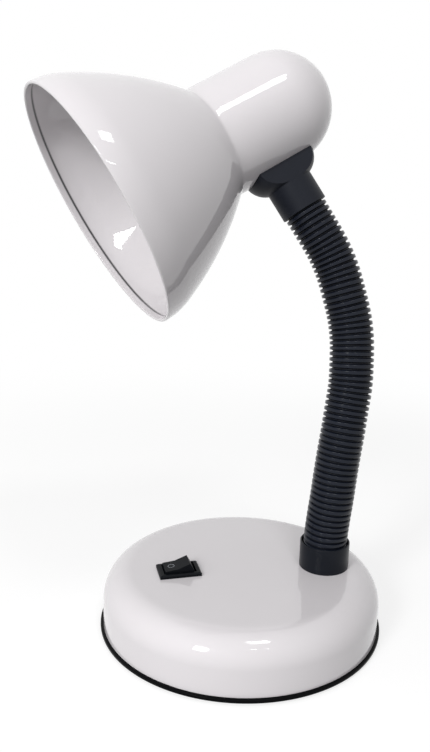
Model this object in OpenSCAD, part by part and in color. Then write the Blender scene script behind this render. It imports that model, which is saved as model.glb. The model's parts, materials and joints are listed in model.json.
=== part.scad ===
// Gooseneck desk lamp: a round weighted base, a ribbed bendable neck and a spun bell shade.
// Millimetres. The origin is on the table at the middle of the base, +Z is up, the neck stands
// on the +X side, and the switch and the mouth of the shade are towards -X.
//
// The neck is a chain of short links. Each link has a length of steel core, with a ball at its
// lower end and a cup at its upper end, inside a length of ribbed sleeve. Every third pivot
// lets the neck sway sideways, and the others let it bend forwards and back.

/* [Base] */
// Radius of the black foot ring, which is the widest part of the base
base_r = 72; // [64.5:0.5:80]
// Height of the flat top of the base above the table
base_h = 30; // [27:0.5:34]
// Height of the base's straight wall above the table, under the rounded shoulder
wall_top = 16; // [15.5:0.5:18]
// How far the steel shell stands back from the edge of the foot ring
shell_inset = 1.4; // [0.8:0.1:2.5]
// Thickness of the steel sheet of the base
shell_wall = 1; // [0.8:0.1:1.4]
// Thickness of the plastic bottom cover
cover_t = 2; // [1.6:0.1:2.4]
// Height of the foot ring under the shell
ring_h = 1.8; // [1.8:0.2:4]
// Gap between the foot ring and the table
ring_gap = 1.1; // [1:0.1:1.6]
// Radius of each rubber pad
pad_r = 7; // [5:0.5:9]
// Distance of the outer pads' middles from the edge of the foot ring
pad_edge = 24; // [18:1:32]
// Distance of the ballast disc from the cover screws' axes
ballast_edge = 8; // [6:0.5:11]
// Thickness of the ballast disc
ballast_t = 8; // [6:0.5:8]

/* [Cover screws] */
// Distance of the cover screws' axes from the inside of the shell's wall
post_edge = 6.6; // [5.8:0.1:7.6]
// Outer radius of the posts that the cover screws enter
post_r = 3.2; // [2.8:0.1:3.4]
// Radius of the cover screws' threads
screw_r = 1.5; // [1.25:0.05:1.75]
// Radius of the cover screws' heads
screw_head_r = 2.8; // [2.4:0.1:3]
// Length of the cover screws under the head
screw_l = 11; // [8:0.5:13]

/* [Cord inlet] */
// Radius of the hole that the cord passes through
cord_hole_r = 3; // [2.5:0.1:3.3]
// Wall thickness of the cord bush
bush_wall = 1.4; // [1:0.1:1.5]
// Width of the bush flange beyond its barrel
bush_flange = 0.9; // [0.6:0.1:1]

/* [Switch] */
// Distance of the switch bezel from the start of the base's rounded shoulder
switch_edge = 12.8; // [9:0.1:16]
// Length of the switch bezel
bezel_l = 21; // [20:0.5:23]
// Width of the switch bezel
bezel_w = 13.8; // [13.6:0.1:15]
// Thickness of the switch bezel
bezel_t = 1.9; // [1.6:0.1:2.4]
// Length of the switch body below the bezel
switch_l = 19; // [18.6:0.1:19.4]
// Width of the switch body below the bezel
switch_w = 12.4; // [12.2:0.1:13]
// Depth of the switch body below the base's top
switch_depth = 12.5; // [12.5:0.1:13]
// Half length of the rocker where it is longest, just above its pivot
rocker_reach = 7.8; // [7.2:0.1:8]
// Half length of the rocker's face
rocker_face_l = 6.4; // [6:0.1:7]
// Width of the rocker
rocker_w = 9.8; // [8.5:0.1:10]
// Radius of the rocker's pivot pins
rocker_pin_r = 1.2; // [0.9:0.05:1.3]
// Angle between the rocker's rest position and its middle position
rocker_tilt = 14; // [8:0.5:14]
// Slope of each half of the rocker's face towards the notch in its middle
rocker_notch = 7.5; // [3:0.5:8]
// Angle between the contact lever's rest position and its middle position
lever_tilt = 8; // [5:0.5:9]

/* [Neck] */
// Distance of the collar from the start of the base's rounded shoulder
neck_edge = 1.2; // [1:0.1:4]
// Turn of the neck's foot about the middle of the base, from the +X axis
neck_turn = -9.5; // [-15:0.5:15]
// Outer radius of the ribs of the sleeve
rib_r = 11.3; // [11:0.1:11.4]
// Radius at the bottom of the sleeve's grooves
root_r = 9.8; // [9.4:0.1:10.1]
// Length of one link, from pivot to pivot
link_l = 11.75; // [11.2:0.05:12.5]
// Number of links in the neck
links = 15; // [14:1:16]
// Number of ribs on one link
link_ribs = 4; // [3:1:4]
// Width of one rib
rib_w = 1.45; // [1.2:0.05:1.6]
// Radius of the steel core
core_r = 7.4; // [7:0.1:7.6]
// Radius of the balls at the pivots
ball_r = 5; // [4.6:0.1:5.4]
// Radius of the wire channel in the core
channel_r = 3; // [2:0.1:3.2]
// Height of the collar above the base
collar_h = 13.5; // [11:0.5:15]
// Outer radius of the collar
collar_r = 12.8; // [12.6:0.1:13.5]
// Wall thickness of the collar
collar_wall = 0.8; // [0.6:0.05:0.9]

/* [Neck pose] */
// Forward or backward turn at the first pivot
foot_turn = 4.7; // [0:0.1:6]
// Forward or backward turn at the second pivot
second_turn = 2; // [0:0.1:6]
// Turn at each other pivot of the lower half, negative is towards the shade's mouth
lower_turn = 1.3; // [-4:0.1:4]
// Turn at each pivot of the upper half
upper_turn = -8.1; // [-8.5:0.1:4]
// Turn at the last pivot, under the knuckle
last_turn = -0.1; // [-6:0.1:4]
// Sideways turn at each sway pivot of the lower half
lower_sway = -4.3; // [-5:0.1:5]
// Sideways turn at each sway pivot of the upper half
upper_sway = -3.5; // [-5:0.1:5]

/* [Knuckle] */
// Outer radius of the knuckle's stem
stem_r = 12.1; // [11.6:0.1:12.5]
// Length of the knuckle's stem
stem_l = 14.9; // [14:0.1:18]
// Radius of the saddle that carries the shade
saddle_r = 19.4; // [17:0.2:21]
// Width of the saddle between its flat sides
saddle_w = 23; // [20:0.5:24]
// Height from the top of the stem to the shade's neck
saddle_rise = 7.9; // [6:0.1:9]
// Radius of the rounded underside of the saddle
saddle_round = 11.9; // [11:0.1:14]
// Turn of the shade about the stem
head_turn = 0.6; // [-20:0.2:20]

/* [Shade] */
// Radius of the rim of the shade
shade_r = 62.7; // [58:0.1:68]
// Length of the bell, from the rim to the crease
bell_l = 65; // [60:0.5:67]
// Radius of the neck of the shade
shade_neck_r = 28.6; // [28:0.1:30]
// Length of the neck of the shade, from the crease to the start of its dome
shade_neck_l = 41.5; // [41:0.5:48]
// Thickness of the sheet of the shade
shade_wall = 0.8; // [0.6:0.05:1]
// Width of the band that is folded in at the rim
hem_w = 3.5; // [3:0.5:7]
// Radius of the bell's outline next to the rim
rim_arc_r = 33; // [25:1:40]
// Slope of the bell's outline where its long curve begins
rim_arc_turn = 21; // [17:0.5:23]
// Distance from the rim to the axis of the knuckle's stem
stem_at = 91; // [89:0.5:92]

/* [Lampholder and bulb] */
// Outer radius of the lampholder
holder_r = 16; // [15.8:0.1:16.5]
// Length of the lampholder
holder_l = 38; // [36:0.5:40]
// Inner radius of the lampholder's screw shell
socket_r = 13.45; // [13.4:0.05:13.6]
// Thickness of the steel of the lampholder bracket
bracket_t = 1.5; // [1.2:0.1:1.8]
// Width of the lampholder bracket
bracket_w = 18; // [16:0.5:18]
// Radius of the bulb's globe
globe_r = 22.5; // [20:0.5:24]
// Distance from the lampholder's mouth to the tip of the bulb
bulb_reach = 50; // [47:0.5:54]
// Outer radius of the bulb's screw cap
cap_r = 13.15; // [13:0.05:13.2]

/* [Threads and nuts] */
// Radius of the threaded stubs at the neck's foot, its head and the lampholder's tail
stub_r = 5; // [4.6:0.1:5]
// Width across the flats of the hex nuts
nut_flats = 14; // [13:0.5:14.5]
// Thickness of the hex nuts
nut_t = 4; // [3:0.5:4.5]
// Radius of the flange of the nut under the base's top
flange_r = 9; // [8.5:0.5:10]
// Thickness of that flange
flange_t = 1.2; // [1:0.1:1.6]

/* [Clearances] */
// Clearance of a pin, a screw or a threaded stub in its hole
fit = 0.05; // [0.03:0.01:0.08]
// Clearance of a piece that is dropped into its place
ease = 0.2; // [0.1:0.05:0.25]
// Clearance between the sleeve and the core, and between ball and cup
play = 0.15; // [0.1:0.01:0.2]
// Distance from each pivot to the nearest sleeve, which sets how far the neck can bend
sleeve_gap = 1.2; // [1.2:0.05:1.4]

/* [Hidden] */
$fn = 96;

// Overlap that joins two bodies of one solid
small = 0.01;

// How far a cut runs past the face that it opens
past = 1;

// Base, from the outside inwards
shell_r = base_r - shell_inset;
shell_in_r = shell_r - shell_wall;
shoulder_r = base_h - wall_top;
flat_r = shell_r - shoulder_r;
post_at = shell_in_r - post_edge;
ballast_r = post_at - ballast_edge;
pad_at = base_r - pad_edge;
neck_reach = flat_r - neck_edge - collar_r;
switch_x = flat_r - switch_edge - bezel_l / 2;

// Heights in the base
cover_rise = 0.6;
shell_z = ring_gap + ring_h;
cover_top = shell_z + cover_rise;
cover_z = cover_top - cover_t;
ballast_top = cover_top + ballast_t;
roof_z = base_h - shell_wall;

// Foot ring and the cover's walls
ring_w = 4;
ring_cut = 0.6;
lip_r = shell_in_r - ease;
lip_w = 1.6;
lip_h = 1.4;
locator_h = 3;

// Cord inlet, in the straight part of the rear wall
cord_z = (shell_z + wall_top) / 2;
bush_r = cord_hole_r + bush_wall;
bush_flange_r = bush_r + bush_flange;
bush_flange_t = 1.3;
bush_tail = 3;
bush_room = 8;

// Cover screws
post_turns = [60:120:300];
screw_head_t = 1.2;
screw_slot_w = 0.7;
screw_slot_depth = 0.7;

// Terminal block, and the ballast's hole under the neck's stub
block_y = 30;
block_l = 20;
block_w = 14;
block_h = 12;
block_step_h = 8;
block_tower_l = 7;
block_pole = 5;
block_screw_r = 1.3;
block_screw_y = 4;
block_wire_r = 1.6;
block_wire_h = 4;
stub_room = 2;

// Switch, measured from the base's top and from the rocker's pivot
pivot_z = -1.1;
rocker_stand = 2;
rocker_face = bezel_t + rocker_stand - pivot_z;
rocker_edge = 1;
rocker_low = 2.5;
rocker_gap = 0.3;
rocker_taper = 0.5;
bezel_cut = 0.7;
chamber_end = 0.4;
chamber_l = 2 * (rocker_reach + chamber_end);
chamber_w = rocker_w + 2 * rocker_gap;
switch_side = (switch_w - chamber_w) / 2;
pin_hold = 0.75;
pin_l = rocker_w + 2 * (rocker_gap + switch_side * pin_hold);
plunger_r = 1.35;
plunger_top = 2.7;
plunger_tip = 6.25;
plunger_clear = 0.25;
boss_r = 2.4;
boss_low = 4.5;
boss_high = 1.2;
spring_wire_r = 0.2;
spring_gap = 0.05;
spring_turns = 6;
lever_t = 0.8;
lever_l = 10.4;
lever_w = 4;
lever_z = -(plunger_tip + plunger_clear + lever_t / 2);
floor_t = 2.2;
chamber_floor = switch_depth - floor_t;
blade_gap = 0.16;
blade_t = 0.8;
blade_w = 4;
blade_l = 7;
blade_slot = 0.1;
blade_slot_h = 8;
contact_x = -4.4;
window_room = 3;
window_l = switch_l + window_room;
window_w = switch_w + window_room;

// Neck
collar_floor = 1.5;
collar_cut = 0.3;
stub_past_nut = 2;
socket_z = base_h + collar_floor;
first_pivot_z = base_h + collar_h;
cup_gap = 0.6;
shank_l = 1.6;
sleeve_r = core_r + 2 * play;
rib_chamfer = 0.3;
rib_root = 0.5;
coil_pitch = 2.3;
coil_depth = 0.25;
coil_wire_r = 0.75;
coil_end = 1;
sway_every = 3;
half_way = floor(links / 2);
nut_r = nut_flats / 2 / cos(30);

// The knuckle's stem reaches down past the sleeve's edge, and the last sleeve is shorter for it
stem_z = 0.45;
last_gap = 2 * sleeve_gap - stem_z;

// Knuckle and head, measured from the last pivot
stem_top = stem_z + stem_l;
stem_wall = 1.5;
head_core_top = stem_top - stem_wall;
head_stub_past_nut = 0.5;
saddle_mid = sqrt(pow(saddle_round, 2) - pow(stem_r - saddle_r + saddle_round, 2));
seat_gap = 0.1;
seat_r = shade_neck_r + seat_gap;
shade_rise = stem_top + saddle_rise + shade_neck_r - seat_gap;
saddle_top = shade_rise - sqrt(pow(seat_r, 2) - pow(saddle_w / 2, 2));

// Shade, measured from its rim
hem_start = 2;
dome_at = bell_l + shade_neck_l;
dome_step = 0.1;
dome_r = shade_neck_r - dome_step;
crease_l = 1.4;
crease_h = 0.6;
crease_foot = 0.06;
rim_round = 0.3;
hem_joint = 0.1;

// Bracket and lampholder, measured from the shade's rim and its axis
bracket_low = sqrt(pow(shade_neck_r - shade_wall, 2) - pow(bracket_w / 2, 2)) - ease;
bracket_back = 3;
bracket_at = dome_at - bracket_back;
bracket_end = 1;
holder_at = bracket_at - holder_l;
holder_taper_l = 6;
holder_taper = 4;
tail_past_nut = 1.5;
tail_l = nut_t + bracket_t + tail_past_nut;
tail_bore_r = 3;
socket_wall = 0.4;
socket_depth = 27;
socket_lip = 1.2;
socket_hole_r = 8;
socket_floor_t = 1;
globe_at = holder_at - bulb_reach + globe_r;
globe_wall = 1.2;
bulb_neck_r = 20.5;
bulb_neck_at = globe_at + sqrt(pow(globe_r, 2) - pow(bulb_neck_r, 2));
cap_out = 1;
cap_start = holder_at - cap_out;
cap_l = 24;
cap_band = 2;
cap_inset = 0.3;
cap_cone_l = 3;
button_r = 4.5;
button_h = 0.8;
button_slope = 1.5;
bulb_end = cap_start + cap_l;
thread_start = 2.6;
thread_pitch = 3.6;
thread_depth = 0.7;

// Contact tongue in the lampholder
tongue_w = 5;
tongue_t = 0.5;
tongue_end = 7;
tongue_bend = 5;
tongue_touch = 1.5;
tongue_gap = 0.1;

// Names
function two(n) = str(n < 10 ? "0" : "", n);

// ---------------------------------------------------------------- places

// True where a pivot sways the neck sideways instead of bending it
function sways(n) = n % sway_every == 0;
function in_lower_half(n) = n <= half_way;
function bend_at(n) =
    n == 1 ? foot_turn :
    n == 2 ? second_turn :
    n == links + 1 ? last_turn :
    in_lower_half(n) ? lower_turn : upper_turn;
function sway_at(n) = in_lower_half(n) ? lower_sway : upper_sway;

// The upright axis of the neck's foot
module on_foot() {
    translate(neck_reach * [cos(neck_turn), sin(neck_turn), 0]) children();
}

// The frame of link n: its origin is the link's lower pivot, and +Z runs along the link
module on_link(n) {
    if (n == 1)
        on_foot() translate([0, 0, first_pivot_z]) turned(1) children();
    else
        on_link(n - 1) translate([0, 0, link_l]) turned(n) children();
}

module turned(n) {
    rotate(sways(n) ? [sway_at(n), 0, 0] : [0, bend_at(n), 0]) children();
}

// The knuckle stands on the last pivot as one more link
module on_head() {
    on_link(links + 1) children();
}

// The shade's frame: +Z runs from the rim to the dome along the shade's axis, and +X points
// at the knuckle
module on_shade() {
    on_head()
        translate([0, 0, shade_rise])
            rotate([0, 0, head_turn])
                rotate([0, 90, 0])
                    translate([0, 0, -stem_at])
                        children();
}

module on_switch() {
    translate([-switch_x, 0, base_h]) children();
}

// The rocker's own frame at its pivot, tipped to its rest position
module on_rocker() {
    on_switch() translate([0, 0, pivot_z]) rotate([0, -rocker_tilt, 0]) children();
}

// ---------------------------------------------------------------- shared shapes

module tube(outer, inner, height) {
    difference() {
        cylinder(r = outer, h = height);
        bore(inner, height);
    }
}

// The space that opens a solid from the plane z = 0 up to a height
module bore(radius, height) {
    translate([0, 0, -past]) cylinder(r = radius, h = height + 2 * past);
}

// A hexagonal nut on the plane z = 0 with a round hole
module hex_nut(hole_r) {
    difference() {
        cylinder(r = nut_r, h = nut_t, $fn = 6);
        bore(hole_r, nut_t);
    }
}

// A slab with its upper edges cut at 45 degrees
module slab(length, width, height, cut) {
    intersection() {
        rotate([90, 0, 0])
            linear_extrude(height = width, center = true)
                bevelled(length, height, cut);
        rotate([90, 0, 90])
            linear_extrude(height = length, center = true)
                bevelled(width, height, cut);
    }
}

module bevelled(width, height, cut) {
    polygon([
        [-width / 2, 0], [width / 2, 0], [width / 2, height - cut],
        [width / 2 - cut, height], [cut - width / 2, height], [-width / 2, height - cut]
    ]);
}

// Half outline of a drum with a rounded upper edge
module drum_outline(radius, low, high, round_r) {
    translate([0, low]) square([radius, high - low - round_r]);
    translate([0, low]) square([radius - round_r, high - low]);
    intersection() {
        translate([radius - round_r, high - round_r]) circle(round_r);
        translate([0, low]) square([radius, high - low]);
    }
}

// Points on an arc, from angle a to angle b
function arc(centre, radius, a, b, steps) =
    [for (k = [0:steps]) let (t = a + (b - a) * k / steps)
        centre + radius * [cos(t), sin(t)]];

// ---------------------------------------------------------------- base

module base_shell() {
    color("whitesmoke")
    difference() {
        union() {
            rotate_extrude()
                difference() {
                    drum_outline(shell_r, shell_z, base_h, shoulder_r);
                    drum_outline(shell_in_r, shell_z - past, roof_z, shoulder_r - shell_wall);
                }
            intersection() {
                rotate_extrude() drum_outline(shell_r - small, shell_z, base_h - small, shoulder_r);
                for (a = post_turns)
                    rotate([0, 0, a])
                        translate([post_at, 0, cover_top])
                            cylinder(r = post_r, h = base_h);
            }
        }
        for (a = post_turns)
            rotate([0, 0, a])
                translate([post_at, 0, cover_top])
                    bore(screw_r + fit, screw_l - cover_t);
        on_foot() translate([0, 0, roof_z]) bore(stub_r + ease, shell_wall);
        translate([-switch_x, 0, base_h])
            cube([switch_l + 2 * ease, switch_w + 2 * ease, 4 * shell_wall], center = true);
        translate([0, shell_r, cord_z])
            rotate([90, 0, 0])
                bore(bush_r + ease / 2, 2 * shell_wall);
    }
}

// The cover is a dish: its ring is the foot ring, a lip inside the shell centres it, and a
// low wall on its floor holds the ballast
module base_cover() {
    color("black")
    difference() {
        rotate_extrude() {
            polygon([
                [base_r - ring_w, ring_gap], [base_r - ring_cut, ring_gap],
                [base_r, ring_gap + ring_cut], [base_r, shell_z - ring_cut],
                [base_r - ring_cut, shell_z], [base_r - ring_w, shell_z]
            ]);
            translate([0, cover_z]) square([lip_r, shell_z - cover_z]);
            translate([0, shell_z - small]) square([lip_r, cover_rise + small]);
            translate([lip_r - lip_w, cover_z]) square([lip_w, cover_t + lip_h]);
            translate([ballast_r + ease, cover_z]) square([lip_w, cover_t + locator_h]);
        }
        for (a = post_turns)
            rotate([0, 0, a])
                translate([post_at, 0, cover_z])
                    bore(screw_r + ease, cover_t);
        // Room for the cord bush
        translate([-bush_flange_r - past, lip_r - bush_room, cover_top])
            cube([2 * (bush_flange_r + past), base_r, base_h]);
    }
}

// Four pads near the edge and one in the middle
module base_pads() {
    color("dimgray") {
        cylinder(r = pad_r, h = cover_z);
        for (a = [45:90:315])
            rotate([0, 0, a])
                translate([pad_at, 0, 0])
                    cylinder(r = pad_r, h = cover_z);
    }
}

module cover_screws() {
    color("silver")
    for (a = post_turns)
        rotate([0, 0, a])
            translate([post_at, 0, cover_z - screw_head_t]) {
                difference() {
                    cylinder(r = screw_head_r, h = screw_head_t);
                    cube([2 * (screw_head_r - screw_slot_w), screw_slot_w, 2 * screw_slot_depth],
                         center = true);
                }
                translate([0, 0, screw_slot_depth])
                    cylinder(r = screw_r, h = screw_head_t - screw_slot_depth + screw_l);
            }
}

module ballast() {
    color("slategray")
    translate([0, 0, cover_top])
        difference() {
            cylinder(r = ballast_r, h = ballast_t);
            // Window for the switch's terminals
            translate([-switch_x, 0, ballast_t / 2])
                cube([window_l, window_w, ballast_t + past], center = true);
            // Hole under the neck's threaded stub
            on_foot() bore(stub_r + stub_room, ballast_t);
        }
}

// Drawn from its outer end inwards, with its flanges on both sides of the rear wall
module cord_bush() {
    inner_y = sqrt(pow(shell_in_r, 2) - pow(bush_flange_r, 2));
    inner_flange = shell_r + bush_flange_t - inner_y + small;
    color("black")
    translate([0, shell_r + bush_flange_t, cord_z])
        rotate([90, 0, 0])
            difference() {
                union() {
                    cylinder(r = bush_flange_r, h = bush_flange_t - small);
                    cylinder(r = bush_r, h = inner_flange + bush_tail);
                    translate([0, 0, inner_flange])
                        cylinder(r = bush_flange_r, h = bush_flange_t);
                }
                bore(cord_hole_r, inner_flange + bush_tail);
            }
}

// Two poles, each with a hole for the wires and a clamping screw's hole at either end
module terminal_block() {
    color("ivory")
    translate([0, block_y, ballast_top])
        difference() {
            union() {
                translate([-block_l / 2, -block_w / 2, 0]) cube([block_l, block_w, block_step_h]);
                for (x = [-block_pole, block_pole])
                    translate([x, 0, block_h / 2])
                        cube([block_tower_l, block_w, block_h], center = true);
            }
            for (x = [-block_pole, block_pole]) {
                translate([x, 0, block_wire_h])
                    rotate([90, 0, 0])
                        cylinder(r = block_wire_r, h = block_w + past, center = true);
                for (y = [-block_screw_y, block_screw_y])
                    translate([x, y, block_wire_h]) cylinder(r = block_screw_r, h = block_h);
            }
        }
}

// ---------------------------------------------------------------- switch

module switch_housing() {
    color("black")
    on_switch()
        difference() {
            union() {
                slab(bezel_l, bezel_w, bezel_t, bezel_cut);
                translate([0, 0, -switch_depth / 2])
                    cube([switch_l, switch_w, switch_depth + small], center = true);
            }
            translate([-chamber_l / 2, -chamber_w / 2, -chamber_floor])
                cube([chamber_l, chamber_w, chamber_floor + bezel_t + past]);
            translate([0, 0, pivot_z])
                rotate([90, 0, 0])
                    cylinder(r = rocker_pin_r + fit, h = switch_w + small / 2, center = true);
            for (x = [0, contact_x])
                translate([x, 0, -switch_depth])
                    cube([blade_t + blade_slot, blade_w + blade_slot, blade_slot_h],
                         center = true);
        }
}

// Two blades: the common one carries the lever, the other is touched when the lamp is on
module switch_terminals() {
    low = -switch_depth - blade_l;
    common_top = pivot_z + lever_z - lever_t / 2 - blade_gap;
    contact_top = pivot_z + lever_z - abs(contact_x) * sin(lever_tilt)
        - lever_t / 2 / cos(lever_tilt) - blade_gap;
    color("goldenrod")
    on_switch() {
        translate([-blade_t / 2, -blade_w / 2, low]) cube([blade_t, blade_w, common_top - low]);
        translate([contact_x - blade_t / 2, -blade_w / 2, low])
            cube([blade_t, blade_w, contact_top - low]);
    }
}

module switch_lever() {
    color("goldenrod")
    on_switch()
        translate([0, 0, pivot_z + lever_z])
            rotate([0, lever_tilt, 0])
                cube([lever_l, lever_w, lever_t], center = true);
}

// The rocker's face is a shallow V, and its ends lean in towards the face
module switch_rocker() {
    tip = rocker_face + rocker_face_l * tan(rocker_notch);
    color("black")
    on_rocker()
        difference() {
            union() {
                rotate([90, 0, 0])
                    linear_extrude(height = rocker_w, center = true)
                        polygon([
                            [rocker_taper - rocker_reach, -rocker_low],
                            [rocker_reach - rocker_taper, -rocker_low],
                            [rocker_reach, rocker_edge], [rocker_face_l, tip], [0, rocker_face],
                            [-rocker_face_l, tip], [-rocker_reach, rocker_edge]
                        ]);
                rotate([90, 0, 0]) cylinder(r = rocker_pin_r, h = pin_l, center = true);
                translate([0, 0, -boss_low]) cylinder(r = boss_r, h = boss_low);
            }
            translate([0, 0, -boss_low - past])
                cylinder(r = plunger_r + fit, h = past + boss_low + boss_high);
        }
}

module switch_plunger() {
    color("silver")
    on_rocker() {
        translate([0, 0, plunger_r - plunger_tip]) {
            sphere(r = plunger_r);
            cylinder(r = plunger_r, h = plunger_tip - plunger_r - plunger_top);
        }
    }
}

// A coil spring between the plunger and the top of its hole
module switch_spring() {
    steps = 10;
    sides = 6;
    coil_r = plunger_r - spring_wire_r - spring_gap;
    low = -plunger_top + spring_wire_r;
    high = boss_high - spring_wire_r - spring_gap;
    count = spring_turns * steps;
    points = [for (k = [0:count], s = [0:sides - 1])
        let (turn = 360 * k / steps, around = 360 * s / sides,
             r = coil_r + spring_wire_r * cos(around))
        [r * cos(turn), r * sin(turn),
         low + (high - low) * k / count + spring_wire_r * sin(around)]];
    walls = [for (k = [0:count - 1], s = [0:sides - 1])
        let (t = (s + 1) % sides)
        [k * sides + s, (k + 1) * sides + s, (k + 1) * sides + t, k * sides + t]];
    ends = [[for (s = [0:sides - 1]) s],
            [for (s = [sides - 1:-1:0]) count * sides + s]];
    color("silver") on_rocker() polyhedron(points = points, faces = concat(walls, ends));
}

// ---------------------------------------------------------------- neck

module neck_collar() {
    color("black")
    on_foot() translate([0, 0, base_h])
        rotate_extrude()
            polygon([
                [stub_r + ease, 0], [collar_r, 0], [collar_r, collar_h - collar_cut],
                [collar_r - collar_cut, collar_h], [collar_r - collar_wall, collar_h],
                [collar_r - collar_wall, collar_floor], [stub_r + ease, collar_floor]
            ]);
}

// The neck's fixed foot: a cup for the first ball, and a threaded stub through the base
module neck_socket() {
    stub_low = roof_z - flange_t - nut_t - stub_past_nut;
    color("silver")
    on_foot()
        rotate_extrude()
            difference() {
                union() {
                    translate([0, socket_z])
                        square([core_r, first_pivot_z - cup_gap - socket_z]);
                    translate([0, stub_low]) square([stub_r, socket_z - stub_low + small]);
                }
                translate([0, first_pivot_z]) circle(ball_r + play);
                translate([0, stub_low - past]) square([channel_r, first_pivot_z]);
            }
}

// A nut with a round flange that bears on the underside of the base's top
module neck_nut() {
    color("silver")
    on_foot() translate([0, 0, roof_z - flange_t - nut_t]) {
        hex_nut(stub_r + fit);
        translate([0, 0, nut_t - small]) tube(flange_r, stub_r + fit, flange_t + small);
    }
}

// Half outline of a length of ribbed sleeve from height low to height high
module sleeve_outline(low, high, ribs) {
    step = (high - low - rib_w) / max(ribs - 1, 1);
    translate([sleeve_r, low]) square([root_r - sleeve_r, high - low]);
    for (k = [0:ribs - 1])
        translate([0, low + k * step])
            polygon([
                [root_r - rib_root, 0], [rib_r - rib_chamfer, 0], [rib_r, rib_chamfer],
                [rib_r, rib_w - rib_chamfer], [rib_r - rib_chamfer, rib_w],
                [root_r - rib_root, rib_w]
            ]);
}

// The last ribs of the sleeve, standing on the collar's floor
module neck_foot_sleeve() {
    color([0.13, 0.14, 0.16])
    on_foot()
        rotate_extrude()
            sleeve_outline(socket_z, first_pivot_z - sleeve_gap, 4);
}

// Half outline of a length of core: a ball on a shank below, a barrel with a cup above
module core_outline(length, has_cup) {
    difference() {
        union() {
            circle(ball_r);
            square([ball_r, shank_l + small]);
            translate([0, shank_l]) square([core_r, length - shank_l]);
        }
        if (has_cup)
            translate([0, length + cup_gap]) circle(ball_r + play);
        for (z = [shank_l + coil_pitch / 2:coil_pitch:length - coil_end])
            translate([core_r + coil_wire_r - coil_depth, z]) circle(coil_wire_r, $fn = 24);
        translate([-2 * ball_r, -2 * ball_r])
            square([channel_r + 2 * ball_r, length + 3 * ball_r]);
    }
}

module neck_core(n) {
    color("silver")
    on_link(n)
        rotate_extrude()
            core_outline(link_l - cup_gap, true);
}

module neck_sleeve(n) {
    color([0.13, 0.14, 0.16])
    on_link(n)
        rotate_extrude()
            sleeve_outline(sleeve_gap, link_l - (n == links ? last_gap : sleeve_gap), link_ribs);
}

// ---------------------------------------------------------------- head

// The neck's upper end: a ball, a barrel in the knuckle, and a threaded stub into the shade
module head_fitting() {
    stub_top = shade_rise - bracket_low + bracket_t + nut_t + head_stub_past_nut;
    color("silver")
    on_head() {
        rotate_extrude() core_outline(head_core_top, false);
        translate([0, 0, head_core_top - small])
            tube(stub_r, channel_r, stub_top - head_core_top);
    }
}

// A stem under a bowl. The bowl's sides are cut flat, and the shade's neck is cut out of its
// top, which leaves the saddle.
module knuckle() {
    color("black")
    on_head()
        difference() {
            rotate_extrude() {
                translate([0, stem_z]) square([stem_r, stem_l + small]);
                translate([0, stem_top]) bowl_outline(saddle_top - stem_top + past);
            }
            translate([0, 0, stem_z - past])
                cylinder(r = sleeve_r, h = head_core_top - stem_z + past);
            cylinder(r = stub_r + ease, h = saddle_top);
            rotate([0, 0, head_turn]) {
                for (side = [0, 180])
                    rotate([0, 0, side])
                        translate([-saddle_r - past, saddle_w / 2, stem_top])
                            cube([2 * (saddle_r + past), saddle_r, saddle_top]);
                translate([0, 0, shade_rise])
                    rotate([0, 90, 0])
                        cylinder(r = seat_r, h = 4 * saddle_r, center = true);
            }
        }
}

// Half outline of the bowl: a circle that leaves the stem's top edge and ends upright
module bowl_outline(height) {
    intersection() {
        union() {
            translate([saddle_r - saddle_round, saddle_mid]) circle(saddle_round);
            square([saddle_r - saddle_round, height]);
            translate([0, saddle_mid]) square([saddle_r, height]);
        }
        square([saddle_r, height]);
    }
}

module head_nut() {
    color("silver")
    on_head()
        translate([0, 0, shade_rise - bracket_low + bracket_t])
            hex_nut(stub_r + fit);
}

// Half outline of the bell from the rim to the crease, moved inwards by inset.
// A short arc turns the rim's straight edge to the slope of the long arc, whose radius
// follows from the two points that it joins.
function bell(inset) =
    let (
        turn = rim_arc_turn,
        rim_centre = [shade_r - rim_arc_r, hem_start],
        start = rim_centre + rim_arc_r * [cos(turn), sin(turn)],
        end = [shade_neck_r + crease_h, bell_l],
        chord = atan2(start[0] - end[0], end[1] - start[1]),
        last = 2 * chord - turn,
        long_r = norm(end - start) / 2 / sin((last - turn) / 2),
        long_centre = start - long_r * [cos(turn), sin(turn)]
    )
    concat(
        arc(rim_centre, rim_arc_r - inset, 0, turn, 5),
        arc(long_centre, long_r - inset, turn + (last - turn) / 10, last, 9)
    );

// Half outline of the shade's neck from the bell's end round to the tip of the dome
function neck_side(inset) = concat(
    [last_of(bell(inset)), [shade_neck_r + crease_foot - inset, bell_l + crease_l],
     [shade_neck_r - inset, bell_l + 2 * crease_l]],
    arc([0, dome_at], dome_r - inset, 0, 90, 14)
);

function last_of(list) = list[len(list) - 1];

function reversed(list) = [for (k = [len(list) - 1:-1:0]) list[k]];

// The bell, with the band that is folded in at its rim
module shade() {
    hem_r = shade_r - 2 * shade_wall;
    color("whitesmoke")
    on_shade()
        rotate_extrude() {
            polygon(concat(
                [[shade_r - shade_wall, rim_round], [shade_r - shade_wall / 2, 0],
                 [shade_r, rim_round]],
                bell(0), reversed(bell(shade_wall))
            ));
            translate([hem_r, rim_round])
                square([shade_wall + hem_joint, hem_start - rim_round + small]);
            intersection() {
                polygon(concat(
                    [[shade_r - shade_wall / 4, rim_round]], bell(shade_wall - hem_joint),
                    reversed(bell(2 * shade_wall)), [[hem_r, rim_round]]
                ));
                square([shade_r, hem_w]);
            }
        }
}

// The straight neck behind the crease, closed by a dome
module shade_neck() {
    color("whitesmoke")
    on_shade()
        difference() {
            rotate_extrude() polygon(concat(neck_side(0), reversed(neck_side(shade_wall))));
            // Hole for the threaded stub of the head
            translate([0, 0, stem_at])
                rotate([0, 90, 0])
                    cylinder(r = stub_r + ease, h = shade_r);
        }
}

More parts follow.
